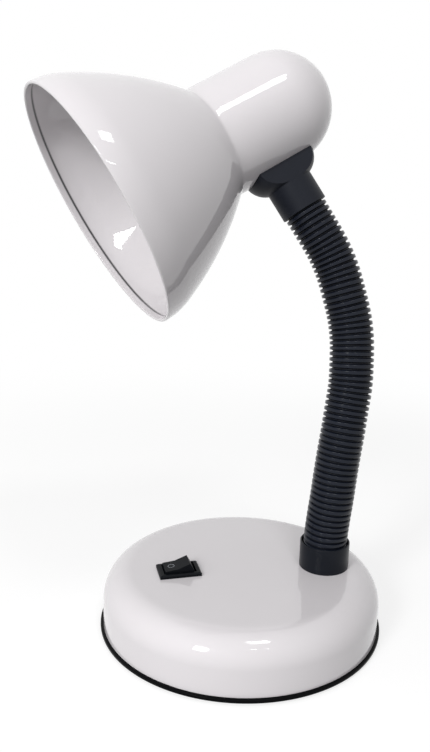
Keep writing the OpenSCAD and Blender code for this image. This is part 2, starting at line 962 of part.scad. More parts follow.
// An angle plate: its foot lies on the inside of the shade's neck, its upright carries the
// lampholder
module holder_bracket() {
    foot_start = stem_at - nut_r - bracket_end;
    color("silver")
    on_shade()
        difference() {
            union() {
                translate([bracket_low - bracket_t, -bracket_w / 2, foot_start])
                    cube([bracket_t, bracket_w, bracket_at + bracket_t - foot_start]);
                translate([-bracket_w / 2, -bracket_w / 2, bracket_at])
                    cube([bracket_low + bracket_w / 2, bracket_w, bracket_t]);
            }
            translate([0, 0, bracket_at]) bore(stub_r + ease, bracket_t);
            translate([0, 0, stem_at]) rotate([0, 90, 0]) cylinder(r = stub_r + ease, h = shade_r);
        }
}

module holder_nut() {
    color("silver")
    on_shade()
        translate([0, 0, bracket_at + bracket_t])
            hex_nut(stub_r + fit);
}

module lampholder() {
    bore_l = socket_depth + socket_lip;
    color("gray")
    on_shade()
        translate([0, 0, holder_at])
            difference() {
                union() {
                    cylinder(r = holder_r, h = holder_l - holder_taper_l);
                    translate([0, 0, holder_l - holder_taper_l - small])
                        cylinder(r1 = holder_r, r2 = holder_r - holder_taper,
                                 h = holder_taper_l + small);
                    translate([0, 0, holder_l - small]) cylinder(r = stub_r, h = tail_l);
                }
                translate([0, 0, -past])
                    cylinder(r = socket_r + socket_wall + ease, h = bore_l + past);
                translate([0, 0, bore_l]) bore(tail_bore_r, holder_l);
            }
}

// A thin cup with rolled threads inside the lampholder
module lampholder_shell() {
    color("goldenrod")
    on_shade()
        translate([0, 0, holder_at + socket_lip])
            difference() {
                cylinder(r = socket_r + socket_wall, h = socket_depth - socket_wall);
                translate([0, 0, -past])
                    cylinder(r = socket_r, h = past + socket_depth - socket_wall - socket_floor_t);
                bore(socket_hole_r, socket_depth);
            }
}

// A bent tongue that presses on the end of the bulb
module lampholder_contact() {
    top = holder_at + socket_depth + socket_lip;
    rise = top - bulb_end - tongue_gap;
    color("goldenrod")
    on_shade()
        translate([0, 0, top])
            rotate([90, 0, 0])
                linear_extrude(height = tongue_w, center = true)
                    polygon([
                        [-tongue_end, 0], [-tongue_end, -tongue_t], [-tongue_bend, -tongue_t],
                        [-tongue_touch, -rise], [tongue_touch, -rise],
                        [tongue_touch + 2 * tongue_t, tongue_t - rise],
                        [tongue_t - tongue_touch, tongue_t - rise], [tongue_t - tongue_bend, 0]
                    ]);
}

// The bulb's plastic body, from the screw cap out to the globe
module bulb_housing() {
    color("white")
    on_shade()
        translate([0, 0, bulb_neck_at + small])
            cylinder(r1 = bulb_neck_r - cap_inset, r2 = cap_r - cap_inset,
                     h = cap_start - bulb_neck_at - small);
}

// A hollow globe with a round opening where the housing closes it
module bulb_globe() {
    color("ivory")
    on_shade()
        translate([0, 0, globe_at])
            difference() {
                sphere(r = globe_r);
                sphere(r = globe_r - globe_wall);
                translate([0, 0, bulb_neck_at - globe_at]) cylinder(r = 2 * globe_r, h = globe_r);
            }
}

module bulb_cap() {
    turns = floor((cap_l - thread_start - cap_cone_l) / thread_pitch);
    color("silver")
    on_shade()
        translate([0, 0, cap_start])
            rotate_extrude()
                polygon(concat(
                    [[0, 0], [cap_r - cap_inset, 0], [cap_r - cap_inset, cap_band]],
                    [for (k = [0:turns - 1], p = [0, 1])
                        [cap_r - (p == 0 ? thread_depth : 0),
                         thread_start + (k + p / 2) * thread_pitch]],
                    [[cap_r - thread_depth, cap_l - cap_cone_l],
                     [button_r + button_slope, cap_l - button_h], [button_r, cap_l], [0, cap_l]]
                ));
}

// ---------------------------------------------------------------- the assembly

base_shell();
base_cover();
base_pads();
cover_screws();
ballast();
cord_bush();
terminal_block();
switch_housing();
switch_terminals();
switch_lever();
switch_rocker();
switch_plunger();
switch_spring();
neck_collar();
neck_socket();
neck_nut();
neck_foot_sleeve();
for (n = [1:links]) {
    neck_core(n);
    neck_sleeve(n);
}
head_fitting();
knuckle();
head_nut();
shade();
shade_neck();
holder_bracket();
holder_nut();
lampholder();
lampholder_shell();
lampholder_contact();
bulb_housing();
bulb_globe();
bulb_cap();
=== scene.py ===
# %% [markdown]
# # A gooseneck desk lamp in Blender
# The lamp stands on a round painted base. A ribbed neck rises from it, bends over and carries a
# bell-shaped shade on a black saddle. This lesson dresses the finished mechanism: it opens the
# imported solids, lays smooth detailed surfaces over those that show, and gives every piece a
# finish of its own. The solids keep their places, so nothing here changes a size.

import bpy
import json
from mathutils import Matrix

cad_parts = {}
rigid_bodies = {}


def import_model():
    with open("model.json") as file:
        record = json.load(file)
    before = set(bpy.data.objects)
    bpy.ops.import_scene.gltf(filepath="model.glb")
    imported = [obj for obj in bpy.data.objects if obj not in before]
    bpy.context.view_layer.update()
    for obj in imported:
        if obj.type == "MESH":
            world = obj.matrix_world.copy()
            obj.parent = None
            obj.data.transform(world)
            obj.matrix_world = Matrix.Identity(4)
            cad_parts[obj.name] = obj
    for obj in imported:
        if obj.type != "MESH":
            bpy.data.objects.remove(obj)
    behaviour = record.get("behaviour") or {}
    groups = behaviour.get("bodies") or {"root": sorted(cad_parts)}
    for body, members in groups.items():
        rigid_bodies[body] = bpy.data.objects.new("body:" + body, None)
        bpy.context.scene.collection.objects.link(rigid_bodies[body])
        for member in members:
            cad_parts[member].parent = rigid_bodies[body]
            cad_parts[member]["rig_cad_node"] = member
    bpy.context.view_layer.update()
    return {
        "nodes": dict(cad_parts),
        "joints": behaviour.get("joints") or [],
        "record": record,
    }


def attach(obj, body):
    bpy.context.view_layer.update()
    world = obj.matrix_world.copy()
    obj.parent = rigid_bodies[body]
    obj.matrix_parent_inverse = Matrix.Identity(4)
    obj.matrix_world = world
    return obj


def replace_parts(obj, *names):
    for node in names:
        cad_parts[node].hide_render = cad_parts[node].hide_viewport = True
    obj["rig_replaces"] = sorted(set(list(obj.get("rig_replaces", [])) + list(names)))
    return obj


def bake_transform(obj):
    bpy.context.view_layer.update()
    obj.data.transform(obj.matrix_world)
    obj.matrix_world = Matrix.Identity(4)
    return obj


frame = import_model()

import json

import bmesh
import bpy
import numpy as np
from mathutils import Matrix, Vector

MM = 0.001
TURN = 2 * np.pi

# %% [markdown]
# ## Where the pieces are
# Each link of the neck turns about a pivot, and the record lists those pivots from the foot to
# the knuckle. From one pivot to the next is the direction of a link. The knuckle's direction
# runs from the last pivot to the nut inside the shade, and the shade's axis runs from the bulb
# to the nut behind the lampholder. So the whole pose of the lamp is read off the solids.

# %% Directions read off the solids


def unit(v):
    """A vector, or rows of vectors, divided by its own length."""
    v = np.asarray(v, float)
    return v / np.linalg.norm(v, axis=-1, keepdims=True)


def corners_of(node):
    """The points of a solid's mesh as an array of rows."""
    mesh = frame["nodes"][node].data
    flat = np.empty(3 * len(mesh.vertices))
    mesh.vertices.foreach_get("co", flat)
    return flat.reshape(-1, 3)


def middle(node):
    """The centre of a round solid: the mean of its different corner points."""
    return np.unique(corners_of(node).round(7), axis=0).mean(0)


neck_joints = [j for j in frame["joints"] if j["name"].startswith("neck_")]
pivots = np.array([j["pos_m"] for j in neck_joints])
UP = np.array([0.0, 0.0, 1.0])
stem_way = unit(middle("head_nut") - pivots[-1])
link_ways = np.vstack([UP, unit(np.diff(pivots, axis=0)), stem_way])
half_link = np.linalg.norm(pivots[1] - pivots[0]) / 2
shade_way = unit(middle("holder_nut") - middle("bulb_globe"))
along = (corners_of("shade") - middle("bulb_globe")) @ shade_way
rim = middle("bulb_globe") + shade_way * along.min()
print("pivots", len(pivots), "stem", stem_way.round(3))
print("shade", shade_way.round(4), "rim", rim.round(4))

# %% [markdown]
# ## The camera
# The lamp is seen from a little above and from its left, as it stands on a shop's table. A
# longer lens than a phone's keeps the round base from stretching. The camera is made first,
# because everything after it is judged through it.

# %% Camera


def camera_at(place, azimuth, elevation, roll, lens, shift):
    """Looks from place along a direction given by two angles, and is rolled about that line."""
    a, e, r = np.radians([azimuth, elevation, roll])
    back = np.array([np.sin(a) * np.cos(e), -np.cos(a) * np.cos(e), np.sin(e)])
    level = np.array([np.cos(a), np.sin(a), 0])
    upright = np.cross(back, level)
    right = np.cos(r) * level + np.sin(r) * upright
    upward = -np.sin(r) * level + np.cos(r) * upright
    camera = bpy.data.objects.new("camera", bpy.data.cameras.new("camera"))
    bpy.context.scene.collection.objects.link(camera)
    turned = Matrix(np.stack([right, upward, back], 1).tolist()).to_4x4()
    camera.matrix_world = Matrix.Translation(Vector(place)) @ turned
    camera.data.lens = lens
    camera.data.shift_x, camera.data.shift_y = shift
    bpy.context.scene.camera = camera
    return camera


camera = camera_at(
    place=(-0.1086, -0.3762, 0.2318), azimuth=-16.1, elevation=11.8, roll=2.3,
    lens=39.33, shift=(-0.0485, -0.0503),
)
bpy.context.scene.view_settings.view_transform = "Standard"
print("camera", tuple(round(x, 3) for x in camera.location), "lens", camera.data.lens)

# %% [markdown]
# ## Surfaces from arrays
# Most of this lamp is turned, spun or moulded round, so most of it is a grid of points: one way
# round the axis and one way along an outline. Numpy works out the whole grid at once, and one
# helper turns a grid into a mesh. Outlines are written as corners, and a corner can be rounded,
# because no real edge is perfectly sharp.

# %% Grid to mesh


def quads_of(rows, columns, first=0, loop=False):
    """Faces between neighbours of a rows x columns grid, closed round its columns; with loop,
    the last row also joins the first."""
    index = np.arange(rows * columns).reshape(rows, columns) + first
    index = np.hstack([index, index[:, :1]])
    if loop:
        index = np.vstack([index, index[:1]])
    sides = [index[:-1, :-1], index[:-1, 1:], index[1:, 1:], index[1:, :-1]]
    return np.stack(sides, -1).reshape(-1, 4)


def skin(name, grids, body, replaced=(), loop=True, sharp=35, facts=None):
    """Makes one object of several grids, merges doubled points at poles, points its faces
    outwards, and lets it ride on a body. facts are numbers kept on every point."""
    grids = grids if isinstance(grids, list) else [grids]
    first = np.cumsum([0] + [g.shape[0] * g.shape[1] for g in grids])
    faces = [quads_of(*g.shape[:2], start, loop) for g, start in zip(grids, first)]
    mesh = bpy.data.meshes.new(name)
    points = np.concatenate([g.reshape(-1, 3) for g in grids])
    mesh.from_pydata(points.tolist(), [], np.concatenate(faces).tolist())
    for key, values in (facts or {}).items():
        kept = mesh.attributes.new(key, "FLOAT", "POINT")
        kept.data.foreach_set("value", np.asarray(values, np.float32).ravel())
    work = bmesh.new()
    work.from_mesh(mesh)
    bmesh.ops.remove_doubles(work, verts=work.verts, dist=0.002 * MM)
    bmesh.ops.recalc_face_normals(work, faces=work.faces)
    work.to_mesh(mesh)
    work.free()
    mesh.shade_smooth()
    mesh.set_sharp_from_angle(angle=np.radians(sharp))
    piece = bpy.data.objects.new(name, mesh)
    bpy.context.scene.collection.objects.link(piece)
    if body:
        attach(piece, body)
    if replaced:
        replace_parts(piece, *replaced)
    print(f"{name}: {len(mesh.polygons)} faces")
    return piece


# %% Outlines and lathe


def rounded(corners, steps=5):
    """An outline through (radius, height, rounding) corners. Each corner gives way to a quadratic
    curve that starts and ends at its rounding's distance along the two sides."""
    corners = np.asarray(corners, float)
    points = []
    for before, here, after in zip(np.roll(corners, 1, 0), corners, np.roll(corners, -1, 0)):
        if here[2] == 0:
            points.append(here[None, :2])
            continue
        start = here[:2] + here[2] * unit(before[:2] - here[:2])
        end = here[:2] + here[2] * unit(after[:2] - here[:2])
        t = np.linspace(0, 1, steps + 1)[:, None]
        points.append((1 - t) ** 2 * start + 2 * t * (1 - t) * here[:2] + t**2 * end)
    return np.concatenate(points)


def square_to(way):
    """Two unit vectors square to a direction and to each other; the first lies nearest +Y."""
    way = unit(way)
    across = unit(np.array([0, 1.0, 0]) - way[..., 1:2] * way)
    return across, np.cross(way, across)


def turned(outline, centre, way, steps=96):
    """A body of revolution: every (radius, height) of the outline, in millimetres, goes to
    centre + height * way + radius * (cos a * u + sin a * v), with a from 0 to one turn."""
    u, v = square_to(way)
    a = np.linspace(0, TURN, steps, endpoint=False)
    circle = np.cos(a)[:, None] * u + np.sin(a)[:, None] * v
    radius, height = np.asarray(outline, float).T * MM
    return centre + height[:, None, None] * unit(way) + radius[:, None, None] * circle


def arc(centre, radius, start, end, steps):
    """Points on a circle, between two angles in degrees."""
    a = np.radians(np.linspace(start, end, steps))
    return np.stack([centre[0] + radius * np.cos(a), centre[1] + radius * np.sin(a)], -1)


# %% [markdown]
# ## The base
# The base is one steel pressing with a flat top and a generous shoulder, painted white. Under it
# a black moulded cover shows as a thin ring and keeps the paint off the table. The pressing has
# an oblong window for the switch, so its flat top is a grid that runs from that window's edge out
# to the shoulder, and the rest is turned.

# %% Base pressing
BASE_R = 70.6
BASE_TOP = 30.0
BASE_LOW = 2.9
SHOULDER = 14.0
SHEET = 1.0
EDGE_ROUND = 0.35
SWITCH_X = -33.3
WINDOW = np.array([19.2, 12.7])


def window_edge(angles, size):
    """Where a ray at each angle from the middle of a rectangle leaves it."""
    reach = np.minimum(
        size[0] / 2 / np.maximum(np.abs(np.cos(angles)), 1e-9),
        size[1] / 2 / np.maximum(np.abs(np.sin(angles)), 1e-9),
    )
    return np.stack([reach * np.cos(angles) + SWITCH_X, reach * np.sin(angles)], -1)


def pressing_grid(steps=192):
    """Rows run from the window over the flat top, round the shoulder, down the wall and back
    inside the sheet. A flat row is a share of the way from the window's edge to a circle."""
    angles = np.linspace(0, TURN, steps, endpoint=False)
    circle = np.stack([np.cos(angles), np.sin(angles)], -1)
    flat_r = BASE_R - SHOULDER
    shares = np.linspace(0, 1, 12)[:, None, None]
    window = window_edge(angles, WINDOW)

    def top(height):
        spread = (1 - shares) * window + shares * flat_r * circle
        return np.concatenate([spread, np.full(spread.shape[:2] + (1,), height)], -1)

    def side(outline):
        level = np.broadcast_to(outline[:, None, 1:], (len(outline), steps, 1))
        return np.concatenate([outline[:, None, :1] * circle, level], -1)

    centre = [flat_r, BASE_TOP - SHOULDER]
    wall_top = BASE_TOP - SHOULDER - 0.1
    inner_r = BASE_R - SHEET
    outside = np.concatenate([
        arc(centre, SHOULDER, 90, 0, 22)[1:],
        rounded([[BASE_R, wall_top, 0], [BASE_R, BASE_LOW, EDGE_ROUND],
                 [inner_r, BASE_LOW, EDGE_ROUND], [inner_r, wall_top, 0]]),
    ])
    inside = arc(centre, SHOULDER - SHEET, 0, 90, 14)[:-1]
    rows = [top(BASE_TOP), side(outside), side(inside), top(BASE_TOP - SHEET)[::-1]]
    return np.concatenate(rows) * MM


skin("base_pressing", pressing_grid(), "base", ["base_shell"])

# %% [markdown]
# The cover is a flat disc. Its edge is the foot ring, rounded on both corners. Its floor has a
# shallow ring-shaped dish between the middle pad and the outer ones, as moulded covers have so
# that they stay flat when they cool.

# %% Foot ring and cover
RING_R = 72.0
RING_INNER_R = 68.0
RING_LOW = 1.1
RING_TOP = 2.9
COVER_LOW = 1.5
COVER_TOP = 3.5
DISH_INNER_R = 18.0
DISH_R = 39.0
DISH_LOW = COVER_LOW + 0.5
cover_outline = rounded([
    [0, COVER_LOW, 0], [DISH_INNER_R, COVER_LOW, 0.5], [DISH_INNER_R + 0.6, DISH_LOW, 0.3],
    [DISH_R - 0.6, DISH_LOW, 0.3], [DISH_R, COVER_LOW, 0.5],
    [RING_INNER_R - 0.4, COVER_LOW, 0.2], [RING_INNER_R, RING_LOW, 0.4],
    [RING_R, RING_LOW, 0.6], [RING_R, RING_TOP, 0.6], [RING_INNER_R + 0.6, RING_TOP, 0.3],
    [RING_INNER_R + 0.6, COVER_TOP, 0.3], [0, COVER_TOP, 0],
])
foot_ring = skin("foot_ring", turned(cover_outline, np.zeros(3), UP, steps=192), "base",
                 ["base_cover"], loop=False)

# %% [markdown]
# Five rubber pads stand under the cover. Each is a low disc with a rounded edge and two shallow
# grooves, which let it grip.

# %% Rubber pads
PAD_R = 7.0
PAD_AT = 48.0
GROOVES_AT = (2.6, 4.6)
GROOVE_DEPTH = 0.25


def pad_groove(start):
    """A shallow groove in the pad's outline, from the radius start outwards."""
    return [[start, 0, 0.15], [start + 0.2, GROOVE_DEPTH, 0.1],
            [start + 0.7, GROOVE_DEPTH, 0.1], [start + 0.9, 0, 0.15]]


grooves = [corner for start in GROOVES_AT for corner in pad_groove(start)]
pad_outline = rounded([[0, 0, 0], *grooves, [PAD_R, 0, 0.5], [PAD_R, COVER_LOW, 0],
                       [0, COVER_LOW, 0]])
pad_places = [np.zeros(3)] + [
    PAD_AT * MM * np.array([np.cos(a), np.sin(a), 0]) for a in np.radians([45, 135, 225, 315])]
skin("rubber_pads", [turned(pad_outline, p, UP, steps=40) for p in pad_places], "base",
     ["base_pads"], loop=False)

# %% [markdown]
# ## The neck
# On the real lamp one soft ribbed tube covers the steel core from the collar to the knuckle. It
# bends anywhere, while the core beneath it bends at pivots. So the tube is cut in the middle of
# each link, where nothing bends, and each length is blended between the two links it joins. Its
# centreline is a quadratic curve from mid-link to mid-link with the pivot as its control point,
# which keeps the direction smooth from one length to the next.

# %% Centreline of one length of tube
RIB_R = 11.3
GROOVE_R = 9.7
TUBE_INSIDE = 8.4
RIBS_PER_LINK = 4
ROWS_PER_RIB = 16
RIB_LIFT = 0.52
RIB_GAIN = 3.6
PITCH = 2 * half_link / RIBS_PER_LINK / MM


def curve_through(start, corner, end, samples=400):
    """A quadratic curve from start to end pulled towards corner. It comes back as points at
    equal distances, with the direction and the distance in millimetres at each."""
    t = np.linspace(0, 1, samples)[:, None]
    fine = (1 - t) ** 2 * start + 2 * t * (1 - t) * corner + t**2 * end
    ways = unit(2 * (1 - t) * (corner - start) + 2 * t * (end - corner))
    run = np.concatenate([[0], np.cumsum(np.linalg.norm(np.diff(fine, axis=0), axis=1))])
    count = int(round(run[-1] / MM / PITCH * ROWS_PER_RIB)) + 1
    even = np.linspace(0, run[-1], count)
    points = np.stack([np.interp(even, run, fine[:, k]) for k in range(3)], -1)
    turned_ways = np.stack([np.interp(even, run, ways[:, k]) for k in range(3)], -1)
    return points, unit(turned_ways), even / MM


# %% Ribs on the tube


def rib_height(distance):
    """0 in a groove and 1 on a rib: a cosine of the distance over the pitch, lifted so that ribs
    are wider than grooves, and squared off by a hyperbolic tangent."""
    wave = np.cos(TURN * (distance / PITCH - 0.5)) + RIB_LIFT
    lowest, highest = np.tanh(RIB_GAIN * np.array([RIB_LIFT - 1, RIB_LIFT + 1]))
    return (np.tanh(RIB_GAIN * wave) - lowest) / (highest - lowest)


def ribbed_grid(points, ways, distance, columns=72):
    """A circle carried along the centreline, with its radius following the ribs, and a plain
    bore inside it. The rows run up the outside and down the bore. It comes with a value for
    each point, from 0 in a groove or in the bore to 1 on a rib."""
    u, v = square_to(ways)
    a = np.linspace(0, TURN, columns, endpoint=False)[:, None]
    circle = np.cos(a) * u[:, None] + np.sin(a) * v[:, None]
    rise = rib_height(distance)
    radius = (GROOVE_R + (RIB_R - GROOVE_R) * rise)[:, None, None] * MM
    outside = points[:, None] + radius * circle
    inside = (points[:, None] + TUBE_INSIDE * MM * circle)[::-4]
    on_rib = np.concatenate([np.repeat(rise, columns), np.zeros(inside.shape[0] * columns)])
    return np.concatenate([outside, inside]), on_rib


def tube_length(name, start, corner, end, from_end, replaced):
    """One length of tube between two bodies. Ribs are counted from the end that touches the
    next whole length, so that they meet there."""
    points, ways, distance = curve_through(start, corner, end)
    counted = distance[-1] - distance if from_end else distance
    grid, rise = ribbed_grid(points, ways, counted)
    piece = skin(name, grid, None, replaced, sharp=60, facts={"rib": rise})
    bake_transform(piece)


# %% All lengths, from the collar to the knuckle
COLLAR_FLOOR = 31.5
TUBE_END = 0.4
for n in range(len(pivots)):
    last = n == len(pivots) - 1
    start = pivots[n] - link_ways[n] * half_link
    end = pivots[n] + link_ways[n + 1] * (TUBE_END * MM if last else half_link)
    hidden = [] if last else [f"neck_sleeve_{n + 1:02d}"]
    tube_length(f"ribbed_tube_{n + 1:02d}", start, pivots[n], end,
                from_end=n == 0, replaced=hidden)
print("ribs in all", round(((len(pivots) + 0.5) * 2 * half_link) / MM / PITCH))

# %% [markdown]
# The lowest stretch of tube stands inside the collar and never bends. It is straight, and its
# ribs are counted down from the first bending length.

# %% Foot of the tube
neck_foot = pivots[0] * [1, 1, 0]
foot_start = neck_foot + UP * COLLAR_FLOOR * MM
foot_end = pivots[0] - UP * half_link
foot_points, foot_ways, foot_run = curve_through(foot_start, (foot_start + foot_end) / 2, foot_end)
foot_grid, foot_rise = ribbed_grid(foot_points, foot_ways, foot_run[-1] - foot_run)
skin("tube_foot", foot_grid, "base", ["neck_foot_sleeve"], sharp=60, facts={"rib": foot_rise})

# %% [markdown]
# ## Collar and knuckle
# The collar is a thin moulded cup that the neck drops into. The knuckle is moulded too: a round
# stem that flares into a bowl with two flat sides, and the bowl hugs the shade's neck. It isn't
# turned, because its plan and its height change round the axis. Its grid keeps the same columns on
# the round ends and on the flat sides at every height, so the creases between them stay crisp.

# %% Collar
COLLAR_R = 12.8
COLLAR_BORE = 12.0
COLLAR_TOP = 43.5
STUB_BORE = 5.2
collar_outline = rounded([
    [STUB_BORE, BASE_TOP, 0], [COLLAR_R, BASE_TOP, 0.25], [COLLAR_R, COLLAR_TOP, 0.35],
    [COLLAR_BORE, COLLAR_TOP, 0.35], [COLLAR_BORE, COLLAR_FLOOR, 0.3],
    [STUB_BORE, COLLAR_FLOOR, 0],
])
collar = skin("collar", turned(collar_outline, neck_foot, UP, steps=128), "base",
              ["neck_collar"])

# %% Knuckle
STEM_R = 12.1
STEM_BOTTOM = 0.45
STEM_MIDDLE = 8.0
STEM_TOP = 15.35
STEM_EDGE = 0.2
BORE_R = 7.7
BORE_TOP = STEM_TOP - 1.5
BOWL_R = 19.4
BOWL_ROUND = 11.9
BOWL_ROWS = 26
SADDLE_RISE = 7.9
SADDLE_ROWS = 16
HALF_SADDLE = 11.5
SHADE_NECK_R = 28.6
SEAT_GAP = 0.1
NECK_AXIS = STEM_TOP + SADDLE_RISE + SHADE_NECK_R - SEAT_GAP
EDGE = 0.15


def under_neck(sideways):
    """Height over the last pivot of the shade's neck, a cylinder that lies across the stem."""
    return NECK_AXIS - np.sqrt((SHADE_NECK_R + SEAT_GAP) ** 2 - sideways**2)


def bowl_radius(height):
    """The bowl's outline: a circle that leaves the stem's top edge, then upright."""
    mid = STEM_TOP + np.sqrt(BOWL_ROUND**2 - (STEM_R - BOWL_R + BOWL_ROUND) ** 2)
    below = np.minimum(height - mid, 0)
    return BOWL_R - BOWL_ROUND + np.sqrt(np.maximum(BOWL_ROUND**2 - below**2, 0))


def half_plan(end_radius, side_radius, flat, columns=36):
    """Half of one row seen along the stem: a round end, then a side. Both end at the corner
    where a circle of the side's radius is HALF_SADDLE off the middle; a side that isn't flat
    stays on the circle."""
    corner = np.arcsin(HALF_SADDLE / side_radius)
    swing = np.linspace(-1, 1, columns + 1)[:-1] * corner
    across = np.linspace(1, -1, columns + 1)[:-1] * side_radius * np.cos(corner)
    off = np.full(columns, HALF_SADDLE) if flat else np.sqrt(side_radius**2 - across**2)
    end = np.stack([end_radius * np.cos(swing), end_radius * np.sin(swing)], -1)
    return np.concatenate([end, np.stack([across, off], -1)])


def knuckle_grid(columns=36):
    """Rows go up the stem and the bowl to the saddle's edge, inwards under the shade's neck and
    down the bore. The other half of each row is the first one turned by half a turn."""
    circle = half_plan(np.full(columns, STEM_R), STEM_R, False) / STEM_R
    level = np.ones(2 * columns)
    rows = [(r * circle, h * level) for r, h in
            ((BORE_R, STEM_BOTTOM), (STEM_R - STEM_EDGE, STEM_BOTTOM),
             (STEM_R, STEM_BOTTOM + STEM_EDGE), (STEM_R, STEM_MIDDLE), (STEM_R, STEM_TOP))]
    brim = half_plan(np.full(columns, BOWL_R), BOWL_R, True)
    for share in np.linspace(0, 1, BOWL_ROWS):
        height = STEM_TOP + share * (under_neck(brim[:, 1]) - EDGE - STEM_TOP)
        radius = bowl_radius(height)
        rows.append((half_plan(radius[:columns], radius[-1], True), height))
    for share in np.linspace(EDGE / BOWL_R, 1, SADDLE_ROWS):
        plan = (1 - share) * brim + share * STUB_BORE * circle
        rows.append((plan, under_neck(plan[:, 1])))
    rows += [(r * circle, BORE_TOP * level) for r in (STUB_BORE, BORE_R)]
    plan, height = (np.stack(part) * MM for part in zip(*rows))
    plan = np.concatenate([plan, -plan], 1)
    height = np.concatenate([height, height], 1)[..., None]
    forward = unit(shade_way - (shade_way @ stem_way) * stem_way)
    side = np.cross(stem_way, forward)
    return pivots[-1] + height * stem_way + plan[..., :1] * forward + plan[..., 1:] * side


skin("knuckle_moulding", knuckle_grid(), "head", ["knuckle"], sharp=32)

# %% [markdown]
# ## The shade
# The shade is spun from one sheet: a bell, a crease, a barrel and a round dome. The bell's
# outline is two circle arcs, a short one at the rim and a long one up to the crease. Its rim is
# folded inwards, and a fine dark line is painted all the way round in the gap beside that fold,
# as painted shade in that gap. The outline runs up the outside and back down the inside, which
# gives the sheet its thickness.

# %% Outline of the shade
RIM_R = 62.7
BELL_L = 65.0
BARREL_L = 41.5
RIM_ARC = 33.0
RIM_ARC_AT = 2.0
RIM_ARC_TURN = 21.0
CREASE = 0.6
WALL = 0.8
FOLD = 1.9 * WALL
HEM = 3.5
SEAM = 0.6
SEAM_LOW = HEM - 1.2
SHADE_STEPS = 240


def bell_outline(inset, low):
    """Outline of the bell, moved inwards by inset, from the height low up to the crease. The long
    arc starts at the slope where the rim's arc ends and runs to the crease, so its radius
    follows from the chord between those two points and the turn between their slopes."""
    turn = np.radians(RIM_ARC_TURN)
    rim_centre = np.array([RIM_R - RIM_ARC, RIM_ARC_AT])
    start = rim_centre + RIM_ARC * np.array([np.cos(turn), np.sin(turn)])
    end = np.array([SHADE_NECK_R + CREASE, BELL_L])
    chord = np.arctan2(start[0] - end[0], end[1] - start[1])
    final = 2 * chord - turn
    long_r = np.linalg.norm(end - start) / 2 / np.sin((final - turn) / 2)
    long_centre = start - long_r * np.array([np.cos(turn), np.sin(turn)])
    points = np.concatenate([
        arc(rim_centre, RIM_ARC - inset, 0, RIM_ARC_TURN, 14),
        arc(long_centre, long_r - inset, RIM_ARC_TURN, np.degrees(final), 40)[1:],
    ])
    return points[points[:, 1] >= low]


def barrel_outline(inset):
    """The crease, the straight barrel and a quarter circle for the dome, up to the axis."""
    dome_at = BELL_L + BARREL_L
    crease = [[SHADE_NECK_R + 0.25 * CREASE - inset, BELL_L + 0.7],
              [SHADE_NECK_R - inset, BELL_L + 1.8], [SHADE_NECK_R - inset, BELL_L + 4]]
    straight = np.stack([np.full(12, SHADE_NECK_R - inset),
                         np.linspace(BELL_L + 8, dome_at - 2, 12)], -1)
    dome = arc([0, dome_at], SHADE_NECK_R - 0.1 - inset, 0, 90, 26)
    return np.concatenate([crease, straight, dome])


def shade_outline():
    """Outside from the rim to the dome's tip, then inside back to the folded band at the rim. It
    comes with a value for each point, which is 1 in the gap beside the band, where the paint is
    darkened as painted shade, and 0 elsewhere."""
    outside = np.concatenate([bell_outline(0, 0), barrel_outline(0)])
    inside = np.concatenate([bell_outline(WALL, HEM + SEAM), barrel_outline(WALL)])[::-1]
    band = bell_outline(FOLD, RIM_ARC_AT)
    band = band[band[:, 1] <= HEM][::-1]
    band_r = band[0, 0]
    wall_r = bell_outline(WALL, HEM)[0, 0]
    gap = [[wall_r, HEM + SEAM - 0.05], [wall_r, SEAM_LOW], [band_r + 0.2, SEAM_LOW],
           [band_r + 0.06, HEM]]
    lip = arc([RIM_R - FOLD / 2, FOLD / 2], FOLD / 2, 180, 360, 12)
    parts = [outside, inside, gap, band, lip]
    seam_shade_mask = np.concatenate([np.full(len(part), float(part is gap)) for part in parts])
    return np.concatenate(parts), seam_shade_mask


# The mask marks the gap beside the fold, where the paint is darkened as painted shade.
outline, seam_shade_mask = shade_outline()
skin("spun_shade", turned(outline, rim, shade_way, SHADE_STEPS), "head",
     ["shade", "shade_neck"], sharp=28, facts={"seam": np.repeat(seam_shade_mask, SHADE_STEPS)})
print("shade outline", len(outline), "points, length", round(float(outline[:, 1].max()), 1), "mm")

# %% [markdown]
# ## The bulb and its holder
# They hide behind the rim from the front, but not from below. The globe is opal plastic on a
# finned body, and the body ends in a screw cap. The lampholder is a dark resin cup with grip
# flutes. All of them are turned about the shade's axis except the flutes and fins, where the
# radius also changes round the axis. A rounded corner of an outline gives the grid six rows, and
# the fins and flutes run from the middle of one corner to the middle of a later one.

# %% Globe and body of the bulb
GLOBE_R = 22.5
GLOBE_WALL = 1.2
globe_heights = (corners_of("bulb_globe") - rim) @ shade_way / MM
GLOBE_MID = float(globe_heights.min()) + GLOBE_R
GLOBE_END = float(globe_heights.max())
globe_turn = np.degrees(np.arcsin((GLOBE_END - GLOBE_MID) / GLOBE_R))
globe_outside = arc([0, GLOBE_MID], GLOBE_R, -90, globe_turn, 44)
globe_inside = arc([0, GLOBE_MID], GLOBE_R - GLOBE_WALL, globe_turn, -90, 30)
globe_outline = np.concatenate([globe_outside, globe_inside])
skin("opal_globe", turned(globe_outline, rim, shade_way, steps=96), "head", ["bulb_globe"],
     loop=False)


def fluted(grid, axis_at, way, count, depth, rows):
    """Pulls chosen rows of a turned grid towards the axis by depth times a squared-off cosine of
    the angle, count times round."""
    columns = grid.shape[1]
    a = np.linspace(0, TURN, columns, endpoint=False)
    pull = depth * MM * (0.5 - 0.5 * np.tanh(3 * np.cos(count * a)))
    heights = ((grid - axis_at) @ unit(way))[..., None] * unit(way)
    spokes = grid - axis_at - heights
    length = np.linalg.norm(spokes, axis=-1, keepdims=True)
    shorter = np.maximum(length - pull[None, :, None], 0) / np.maximum(length, 1e-9)
    result = grid.copy()
    result[rows] = (axis_at + heights + spokes * shorter)[rows]
    return result


